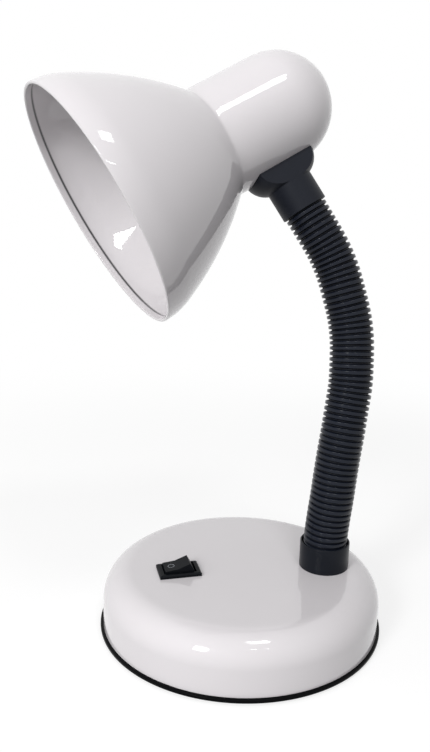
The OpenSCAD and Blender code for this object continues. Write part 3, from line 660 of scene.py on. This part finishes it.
FINS = 24
FIN_DEPTH = 0.5
FIN_ROWS = slice(9, 17)
CAP_OUT = 1.0
HOLDER_AT = float(((corners_of("lampholder") - rim) @ shade_way).min()) / MM
CAP_START = HOLDER_AT - CAP_OUT
body_outline = rounded([
    [0, GLOBE_END, 0], [20.2, GLOBE_END, 0.4], [19.4, GLOBE_END + 3, 0.5],
    [18.2, CAP_START - 4, 1.0], [12.85, CAP_START, 0.3], [0, CAP_START, 0],
])
body_grid = turned(body_outline, rim, shade_way, steps=192)
finned_grid = fluted(body_grid, rim, shade_way, FINS, FIN_DEPTH, FIN_ROWS)
skin("bulb_body", finned_grid, "head", ["bulb_housing"], loop=False)

# %% Lampholder
HOLDER_R = 16.0
HOLDER_L = 38.0
HOLDER_BORE = 14.05
TAIL_R = 5
TAIL_BORE = 3
HOLDER_FLOOR = HOLDER_AT + 28
HOLDER_END = HOLDER_AT + HOLDER_L
TAIL_END = HOLDER_END + 7
FLUTES = 36
FLUTE_DEPTH = 0.35
FLUTE_ROWS = slice(15, 27)
fluted_r = HOLDER_R - 0.01
holder_outline = rounded([
    [HOLDER_BORE, HOLDER_AT, 0.2], [HOLDER_R, HOLDER_AT, 0.5], [HOLDER_R, HOLDER_AT + 3, 0.3],
    [fluted_r, HOLDER_AT + 5, 0.3], [fluted_r, HOLDER_AT + 22, 0.3],
    [HOLDER_R, HOLDER_AT + 32, 1.0], [HOLDER_R - 4, HOLDER_END, 0.5], [TAIL_R, HOLDER_END, 0],
    [TAIL_R, TAIL_END, 0.3], [TAIL_BORE, TAIL_END, 0.3], [TAIL_BORE, HOLDER_FLOOR, 0],
    [HOLDER_BORE, HOLDER_FLOOR, 0],
])
holder_grid = turned(holder_outline, rim, shade_way, steps=192)
fluted_grid = fluted(holder_grid, rim, shade_way, FLUTES, FLUTE_DEPTH, FLUTE_ROWS)
skin("fluted_lampholder", fluted_grid, "head", ["lampholder"])

# %% [markdown]
# ## Marks on the rocker
# The rocker carries the two usual marks, a ring for off and a bar for on. They are printed in a
# pale grey and stand a hair above the face. Each lies on one half of the rocker's shallow V, so
# its place and tilt are read off that half of the solid, a little to the right of its middle.

# %% Halves of the rocker's face
FACE_LOW = BASE_TOP + 2.5


def face_half(node, left):
    """Centre and normal of one half of a rocker's face, which is all of the solid's upward faces
    that stand clear above the base. Larger faces count for more."""
    mesh = frame["nodes"][node].data
    areas = np.array([p.area for p in mesh.polygons])
    normals = np.array([p.normal for p in mesh.polygons])
    centres = np.array([p.center for p in mesh.polygons])
    slopes = normals[:, 0] / np.maximum(normals[:, 2], 1e-6)
    upward = (normals[:, 2] > 0.8) & (centres[:, 2] > FACE_LOW * MM)
    split = slopes[upward].mean()
    chosen = upward & ((slopes > split) == left)
    weight = areas[chosen][:, None] / areas[chosen].sum()
    return (centres[chosen] * weight).sum(0), unit((normals[chosen] * weight).sum(0))


def bar_grid(length, width, height, centre, along_way, up_way, steps=32):
    """A bar with round ends: a stadium outline, low at its edge and flat on top."""
    a = np.linspace(0, TURN, steps, endpoint=False)
    ends = np.sign(np.cos(a)) * (length - width) / 2
    ring = np.stack([ends + width / 2 * np.cos(a), width / 2 * np.sin(a)], -1)
    across = np.cross(up_way, along_way)
    rows = []
    for share, level in ((0, -0.05), (1, -0.05), (1, 0.7), (0.8, 1), (0, 1)):
        flat = share * ring[:, :1] * along_way + share * ring[:, 1:] * across
        rows.append(centre + (flat + level * height * up_way) * MM)
    return np.stack(rows)


# %% Ring and bar
off_centre, off_normal = face_half("switch_rocker", True)
on_centre, on_normal = face_half("switch_rocker", False)
MARK = 0.05
MARK_SHIFT = np.array([0.4 * MM, 0, 0])
OFF_R = 1.68
OFF_BORE = 1.4
ON_BAR = (3.2, 0.28)
ring_outline = rounded([[OFF_BORE, -MARK, 0], [OFF_R, -MARK, 0], [OFF_R, MARK, 0.04],
                        [OFF_BORE, MARK, 0.04]])
off_grid = turned(ring_outline, off_centre + MARK_SHIFT, off_normal, steps=48)
off_ring = skin("off_ring", off_grid, "rocker")
face_way = unit(np.cross(np.array([0, 1.0, 0]), on_normal))
on_grid = bar_grid(*ON_BAR, MARK, on_centre + MARK_SHIFT, face_way, on_normal)
on_bar = skin("on_bar", on_grid, "rocker", loop=False)
print("off face", off_centre.round(4), off_normal.round(3), "on face", on_normal.round(3))

# %% [markdown]
# ## Edges of the solids that stay
# The switch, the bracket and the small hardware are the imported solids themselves. Their corners
# are sharp, and two modifiers round them for the render: Weld joins the loose triangles, and
# Bevel rounds every edge that is steeper than its limit. The meshes under the modifiers stay as
# they are.

# %% Soft edges


def soften(node, width, angle=40, segments=2):
    """Welds a solid's triangles and rounds its steep edges by a width in millimetres."""
    obj = frame["nodes"][node]
    weld = obj.modifiers.new("weld", "WELD")
    weld.merge_threshold = 0.001 * MM
    bevel = obj.modifiers.new("round edges", "BEVEL")
    bevel.width = width * MM
    bevel.segments = segments
    bevel.limit_method = "ANGLE"
    bevel.angle_limit = np.radians(angle)


for name, width in (("switch_housing", 0.25), ("switch_rocker", 0.3), ("terminal_block", 0.3),
                    ("holder_bracket", 0.2), ("neck_nut", 0.2), ("head_nut", 0.2),
                    ("holder_nut", 0.2)):
    soften(name, width)

# %% [markdown]
# ## Writing materials as sums
# A finish is arithmetic on textures: a little dust here, a rougher patch there. The class below
# wraps one output of a node, and adding or multiplying two of them adds the Math node that does
# it. Any other node comes from one method, which takes the node's type, its settings and what
# goes into its sockets.

# %% Arithmetic on sockets


class Wave:
    """One value in a finish. Adding, multiplying and so on add the Math node that does it."""

    def __init__(self, finish, socket):
        self.finish = finish
        self.socket = socket

    def maths(self, operation, first, second):
        return self.finish.node("ShaderNodeMath", {0: first, 1: second}, operation=operation)

    def __add__(self, other):
        return self.maths("ADD", self, other)

    def __radd__(self, other):
        return self.maths("ADD", other, self)

    def __sub__(self, other):
        return self.maths("SUBTRACT", self, other)

    def __rsub__(self, other):
        return self.maths("SUBTRACT", other, self)

    def __mul__(self, other):
        return self.maths("MULTIPLY", self, other)

    def __rmul__(self, other):
        return self.maths("MULTIPLY", other, self)

    def __gt__(self, other):
        return self.maths("GREATER_THAN", self, other)


class Finish:
    """A material being written. It starts as one Principled shader with fixed values."""

    def __init__(self, name, **fixed):
        self.material = bpy.data.materials.new(name)
        self.material.use_nodes = True
        self.tree = self.material.node_tree
        self.shader = self.tree.nodes["Principled BSDF"]
        self.place = self.node("ShaderNodeTexCoord", out="Object")
        for key, value in fixed.items():
            self.shader.inputs[key.replace("_", " ")].default_value = value

    def node(self, kind, inputs=None, out=0, stops=None, **settings):
        """Adds a node of a type, sets it up, then gives its sockets values or links."""
        made = self.tree.nodes.new(kind)
        for key, value in settings.items():
            setattr(made, key, value)
        if stops:
            ramp = made.color_ramp.elements
            while len(ramp) < len(stops):
                ramp.new(0.5)
            for element, (position, colour) in zip(ramp, stops):
                element.position = position
                element.color = colour
        for key, value in (inputs or {}).items():
            self.give(made.inputs[key], value)
        return Wave(self, made.outputs[out])

    def give(self, socket, value):
        if isinstance(value, Wave):
            self.tree.links.new(value.socket, socket)
        else:
            socket.default_value = value

    def speckle(self, size, detail=2.0, stretch=(1, 1, 1), roughness=0.5):
        """Noise from 0 to 1 whose lumps are about size millimetres across."""
        placed = self.node("ShaderNodeMapping", {"Vector": self.place, "Scale": stretch},
                           out="Vector")
        return self.node("ShaderNodeTexNoise", {
            "Vector": placed, "Scale": 1 / (size * MM), "Detail": detail,
            "Roughness": roughness}, out="Fac")

    def shades(self, amount, dark, light):
        """Two colours mixed by a value. Of the Mix node's sockets, 6 and 7 take colours."""
        ends = [c if isinstance(c, Wave) else (*c, 1) for c in (dark, light)]
        return self.node("ShaderNodeMix", {0: amount, 6: ends[0], 7: ends[1]}, out=2,
                         data_type="RGBA")

    def surface(self, colour=None, roughness=None, bump=None, depth=0.02):
        """Gives the shader what changes over the surface. depth is in millimetres."""
        if colour is not None:
            self.give(self.shader.inputs["Base Color"], colour)
        if roughness is not None:
            self.give(self.shader.inputs["Roughness"], roughness)
        if bump is not None:
            relief = self.node("ShaderNodeBump", {"Height": bump, "Distance": depth * MM,
                                                  "Strength": 1.0}, out="Normal")
            self.give(self.shader.inputs["Normal"], relief)
        return self.material


# %% [markdown]
# ## White paint
# Base and shade are sprayed with the same warm white and baked glossy. Close up, such paint is
# never flat: it has a faint orange-peel, slightly duller patches, and fine dust. A fine dark line
# is painted inside the shade's fold as painted shade. Its shine is a clear coat over the colour.

# %% Paint


def white_paint():
    f = Finish("white paint", Coat_Weight=1.0, Coat_Roughness=0.02, Coat_IOR=1.5,
               Specular_IOR_Level=0.15)
    patches = f.speckle(28, detail=3)
    dust = f.speckle(0.35, detail=1) > 0.74
    colour = f.shades(patches, (0.736, 0.705, 0.724), (0.766, 0.738, 0.758))
    colour = f.shades(dust * 0.12, colour, (0.56, 0.55, 0.55))
    # A fine dark line in the gap beside the shade's fold is painted shade.
    seam = f.node("ShaderNodeAttribute", out="Fac", attribute_name="seam")
    colour = f.shades(seam, colour, (0.1, 0.1, 0.105))
    rough = 0.35 + patches * 0.1 + dust * 0.12
    peel = f.speckle(2.4, detail=2) + f.speckle(0.8, detail=1) * 0.25
    return f.surface(colour, rough, peel, depth=0.012)


# %% [markdown]
# ## Black plastics
# The knuckle is moulded in a satin black with a fine texture. The collar is smoother, and its
# black is painted a little darker as painted shade on its upright sides. The ribbed tube is softer
# and slightly blue; its grooves are painted darker than its ribs as painted shade, dust dulls its
# grooves and handling polishes its ribs. The foot ring is the darkest, with a few light scuffs.
# The switch is harder than the collar, with a fine grain from its mould.

# %% Plastics


def black_plastic():
    f = Finish("satin black plastic", Specular_IOR_Level=0.16)
    cloud = f.speckle(9, detail=3)
    grain = f.speckle(0.25, detail=2)
    colour = f.shades(cloud, (0.0085, 0.0102, 0.0155), (0.0125, 0.0146, 0.021))
    rough = 0.38 + cloud * 0.1 + grain * 0.06
    return f.surface(colour, rough, grain + f.speckle(1.6) * 0.6, depth=0.01)


def ring_plastic():
    f = Finish("foot ring plastic", Specular_IOR_Level=0.05)
    cloud = f.speckle(12, detail=3)
    scuff = f.speckle(0.8, detail=3, stretch=(1, 1, 3)) > 0.7
    colour = f.shades(cloud, (0.0008, 0.0009, 0.0012), (0.002, 0.0022, 0.0028))
    colour = f.shades(scuff * 0.2, colour, (0.02, 0.02, 0.022))
    rough = 0.25 + cloud * 0.1 + scuff * 0.1
    return f.surface(colour, rough, f.speckle(0.6, detail=2), depth=0.006)


def shaded_collar_plastic():
    f = Finish("collar plastic", Specular_IOR_Level=0.14)
    cloud = f.speckle(7, detail=3)
    grain = f.speckle(0.3, detail=2)
    # The collar's black is painted darker than the knuckle's: painted shade on its upright sides.
    colour = f.shades(cloud, (0.0048, 0.0062, 0.0098), (0.0075, 0.0092, 0.0138))
    return f.surface(colour, 0.26 + cloud * 0.08 + grain * 0.05, grain, depth=0.006)


def sleeve_plastic():
    f = Finish("ribbed tube plastic", Specular_IOR_Level=0.24)
    rib = f.node("ShaderNodeAttribute", out="Fac", attribute_name="rib")
    cloud = f.speckle(7, detail=3)
    # Grooves are painted darker than ribs: painted shade in the grooves.
    ribbed = f.shades(rib, (0.0032, 0.0042, 0.0078), (0.0066, 0.0094, 0.0178))
    colour = f.shades((1 - rib) * cloud * 0.08, ribbed, (0.06, 0.058, 0.056))
    rough = 0.48 - rib * 0.3 + cloud * 0.06
    return f.surface(colour, rough, f.speckle(0.5, detail=2), depth=0.002)


def switch_plastic():
    f = Finish("switch plastic", Specular_IOR_Level=0.06)
    cloud = f.speckle(5, detail=2)
    grain = f.speckle(0.18, detail=1)
    colour = f.shades(cloud, (0.0032, 0.0038, 0.0052), (0.0055, 0.0064, 0.0084))
    return f.surface(colour, 0.32 + grain * 0.14, grain, depth=0.008)


def foot_rubber():
    f = Finish("pad rubber", Specular_IOR_Level=0.3)
    cloud = f.speckle(3, detail=3)
    colour = f.shades(cloud, (0.018, 0.018, 0.019), (0.045, 0.044, 0.043))
    return f.surface(colour, 0.75 + cloud * 0.15, f.speckle(0.3), depth=0.02)


def mark_ink():
    f = Finish("switch marks", Specular_IOR_Level=0.4)
    wear = f.speckle(0.5, detail=2)
    return f.surface(f.shades(wear, (0.26, 0.28, 0.31), (0.38, 0.4, 0.43)), 0.4 + wear * 0.1)


# %% [markdown]
# ## Metals
# Nuts, screws and the bracket are zinc plated: bright, a little blue, with cloudy
# patches. The core is drawn steel, so its noise is stretched into streaks. The ballast is cast
# and oiled. The bulb's cap and the contacts are rolled and stamped sheet, with fine scratches.

# %% Metals


def zinc_steel():
    f = Finish("zinc plated steel", Metallic=1.0)
    cloud = f.speckle(4, detail=4)
    colour = f.shades(cloud, (0.48, 0.49, 0.5), (0.66, 0.67, 0.68))
    return f.surface(colour, 0.28 + cloud * 0.2, f.speckle(0.6, detail=3), depth=0.008)


def core_steel():
    f = Finish("drawn steel", Metallic=1.0)
    streak = f.speckle(2, detail=3, stretch=(1, 1, 0.08))
    colour = f.shades(streak, (0.3, 0.3, 0.3), (0.5, 0.5, 0.49))
    return f.surface(colour, 0.3 + streak * 0.2, streak, depth=0.01)


def ballast_iron():
    f = Finish("cast ballast", Metallic=0.9)
    lumps = f.speckle(1.5, detail=5, roughness=0.7)
    colour = f.shades(lumps, (0.06, 0.06, 0.062), (0.16, 0.155, 0.15))
    return f.surface(colour, 0.5 + lumps * 0.3, lumps, depth=0.15)


def contact_brass():
    f = Finish("stamped brass", Metallic=1.0)
    tarnish = f.speckle(3, detail=4)
    colour = f.shades(tarnish, (0.45, 0.3, 0.12), (0.72, 0.52, 0.24))
    return f.surface(colour, 0.25 + tarnish * 0.2, f.speckle(0.5), depth=0.006)


def cap_nickel():
    f = Finish("rolled nickel", Metallic=1.0)
    scratch = f.speckle(1.2, detail=3, stretch=(1, 1, 0.2))
    colour = f.shades(scratch, (0.55, 0.54, 0.52), (0.72, 0.71, 0.69))
    return f.surface(colour, 0.22 + scratch * 0.18, scratch, depth=0.008)


# %% [markdown]
# ## Bulb, holder and terminals
# The globe is opal, so it is almost matt with a soft shine. The lampholder is dark resin with a
# mould's grain, and the terminal block is pale nylon that has yellowed a little.

# %% Resin, nylon and opal


def holder_resin():
    f = Finish("holder resin", Specular_IOR_Level=0.45)
    flow = f.speckle(6, detail=3, stretch=(1, 1, 0.3))
    colour = f.shades(flow, (0.02, 0.018, 0.016), (0.04, 0.036, 0.032))
    return f.surface(colour, 0.35 + flow * 0.15, f.speckle(0.4), depth=0.01)


def terminal_plastic():
    f = Finish("terminal nylon")
    cloud = f.speckle(5, detail=3)
    colour = f.shades(cloud, (0.62, 0.58, 0.47), (0.72, 0.69, 0.6))
    return f.surface(colour, 0.4 + cloud * 0.15, f.speckle(0.8), depth=0.01)


def bulb_plastic():
    f = Finish("bulb body plastic")
    cloud = f.speckle(8, detail=3)
    colour = f.shades(cloud, (0.7, 0.7, 0.69), (0.78, 0.78, 0.77))
    return f.surface(colour, 0.36 + cloud * 0.12, f.speckle(0.5), depth=0.008)


def bulb_glass():
    f = Finish("opal globe", Coat_Weight=0.3, Coat_Roughness=0.15)
    cloud = f.speckle(14, detail=2)
    colour = f.shades(cloud, (0.74, 0.735, 0.71), (0.8, 0.795, 0.775))
    return f.surface(colour, 0.45 + cloud * 0.1, f.speckle(1.0), depth=0.006)


# %% [markdown]
# ## Handing out the finishes
# The record names a material slot for each solid. A solid that stays takes the finish of its
# slot, and so does a surface that stands for it. The top length of tube stands for no solid and
# takes the sleeve's slot. The marks on the rocker take the switch's slot. The marks, the foot
# ring and the collar then get a finish of their own.

# %% Finish for every piece
finishes = {make.__name__: make() for make in (
    white_paint, black_plastic, sleeve_plastic, switch_plastic, foot_rubber, zinc_steel,
    core_steel, ballast_iron, contact_brass, holder_resin, terminal_plastic, bulb_plastic,
    bulb_glass, cap_nickel,
)}
slot_of = {row["node"]: row["material_slot"] for row in frame["record"]["subparts"]}


def coat(piece, slot):
    """Gives a piece the finish of one slot."""
    piece.data.materials.clear()
    piece.data.materials.append(finishes[slot])


for node, obj in frame["nodes"].items():
    coat(obj, slot_of[node])
made = [o for o in bpy.context.scene.objects if o.type == "MESH" and "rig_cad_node" not in o]
for piece in made:
    stood_for = list(piece.get("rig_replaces", []))
    if stood_for:
        coat(piece, slot_of[stood_for[0]])
    else:
        coat(piece, "switch_plastic" if piece in (off_ring, on_bar) else "sleeve_plastic")
ink = mark_ink()
# The collar's own finish is the black plastic painted darker, as painted shade.
for piece, own in ((off_ring, ink), (on_bar, ink), (foot_ring, ring_plastic()),
                   (collar, shaded_collar_plastic())):
    piece.data.materials[0] = own
print("pieces made", len(made), "finishes", len(finishes))

# %% [markdown]
# ## Table, surroundings and light
# A pale table in a white room. Close to the lamp the table takes a soft shadow. Farther out its
# own glow rises until it is as white as the room, so no edge shows between the two. The glow is
# seen by the camera and in mirrors, and lights nothing.

# %% Table


def ray_mask(tree):
    """1 for rays that see the surroundings directly, in a mirror or through glass."""
    path = tree.nodes.new("ShaderNodeLightPath")
    total = path.outputs["Is Camera Ray"]
    for name in ("Is Glossy Ray", "Is Transmission Ray"):
        both = tree.nodes.new("ShaderNodeMath")
        both.operation = "MAXIMUM"
        tree.links.new(total, both.inputs[0])
        tree.links.new(path.outputs[name], both.inputs[1])
        total = both.outputs[0]
    return total


def pale_table(size=6.0, near=0.17, far=0.6, albedo=0.36, glow=0.72):
    """A floor whose colour fades from albedo to black between two distances from the middle,
    while its glow rises from glow to 1 over the same stretch."""
    mesh = bpy.data.meshes.new("table")
    half = size / 2
    mesh.from_pydata([(-half, -half, 0), (half, -half, 0), (half, half, 0), (-half, half, 0)],
                     [], [(0, 1, 2, 3)])
    table = bpy.data.objects.new("table", mesh)
    bpy.context.scene.collection.objects.link(table)
    f = Finish("table", Roughness=0.9, Specular_IOR_Level=0.0, Emission_Strength=1.0)
    distance = f.node("ShaderNodeVectorMath", {0: f.place}, out="Value", operation="LENGTH")
    away = f.node("ShaderNodeMapRange", {"Value": distance, "From Min": near, "From Max": far},
                  out="Result", interpolation_type="SMOOTHERSTEP")
    f.surface(f.shades(away, (albedo,) * 3, (0.0,) * 3))
    seen = f.shades(away, (glow,) * 3, (1.0,) * 3)
    lit = f.shades(Wave(f, ray_mask(f.tree)), (0.0,) * 3, seen)
    f.give(f.shader.inputs["Emission Color"], lit)
    mesh.materials.append(f.material)
    return table


table = pale_table()
print("table", tuple(round(x, 2) for x in table.dimensions))

# %% [markdown]
# Glossy paint mirrors its lamps, so each mirrored lamp has the size of the highlight it leaves:
# a window overhead, a second one low on the left, and a narrow strip in front. Broad soft light
# from the left and from the front gives the forms their shade, and it is kept out of mirrors,
# because in a large room it comes from everywhere and leaves no edge on the paint.

# %% Room and lamps


def white_room(seen=1.0, cast=0.31):
    """Surroundings that look white and light the object at a lower level."""
    world = bpy.data.worlds.new("room")
    bpy.context.scene.world = world
    world.use_nodes = True
    tree = world.node_tree
    ground = tree.nodes["Background"]
    ground.inputs["Color"].default_value = (1, 1, 1, 1)
    level = tree.nodes.new("ShaderNodeMapRange")
    level.inputs["To Min"].default_value = cast
    level.inputs["To Max"].default_value = seen
    tree.links.new(ray_mask(tree), level.inputs["Value"])
    tree.links.new(level.outputs["Result"], ground.inputs["Strength"])


def softbox(name, way, distance, size, watts, mirrored, target=(0, 0, 0.15)):
    """A rectangular lamp at a distance along a direction from the target, facing it."""
    data = bpy.data.lights.new(name, "AREA")
    data.shape = "RECTANGLE"
    data.size, data.size_y = size
    data.energy = watts
    lamp = bpy.data.objects.new(name, data)
    bpy.context.scene.collection.objects.link(lamp)
    lamp.location = Vector(target) + Vector(unit(way)) * distance
    lamp.rotation_euler = (lamp.location - Vector(target)).to_track_quat("Z", "Y").to_euler()
    lamp.visible_glossy = mirrored
    return lamp


white_room()
for lamp in (  # name, way, distance, size, watts, mirrored
    ("overhead window", (0.08, -0.42, 0.90), 1.3, (0.28, 0.20), 2.6, True),
    ("left window", (-0.65, -0.62, 0.43), 1.6, (0.28, 0.38), 7.2, True),
    ("front strip", (0.03, -0.77, 0.64), 1.3, (0.30, 0.02), 0.3, True),
    ("left light", (-0.65, -0.62, 0.43), 1.8, (0.70, 0.70), 9.6, False),
    ("side light", (-1.0, -0.1, 0.25), 2.0, (1.4, 1.4), 6.5, False),
    ("front light", (-0.1, -1.0, 0.25), 2.0, (1.4, 1.4), 6.0, False),
):
    softbox(*lamp)
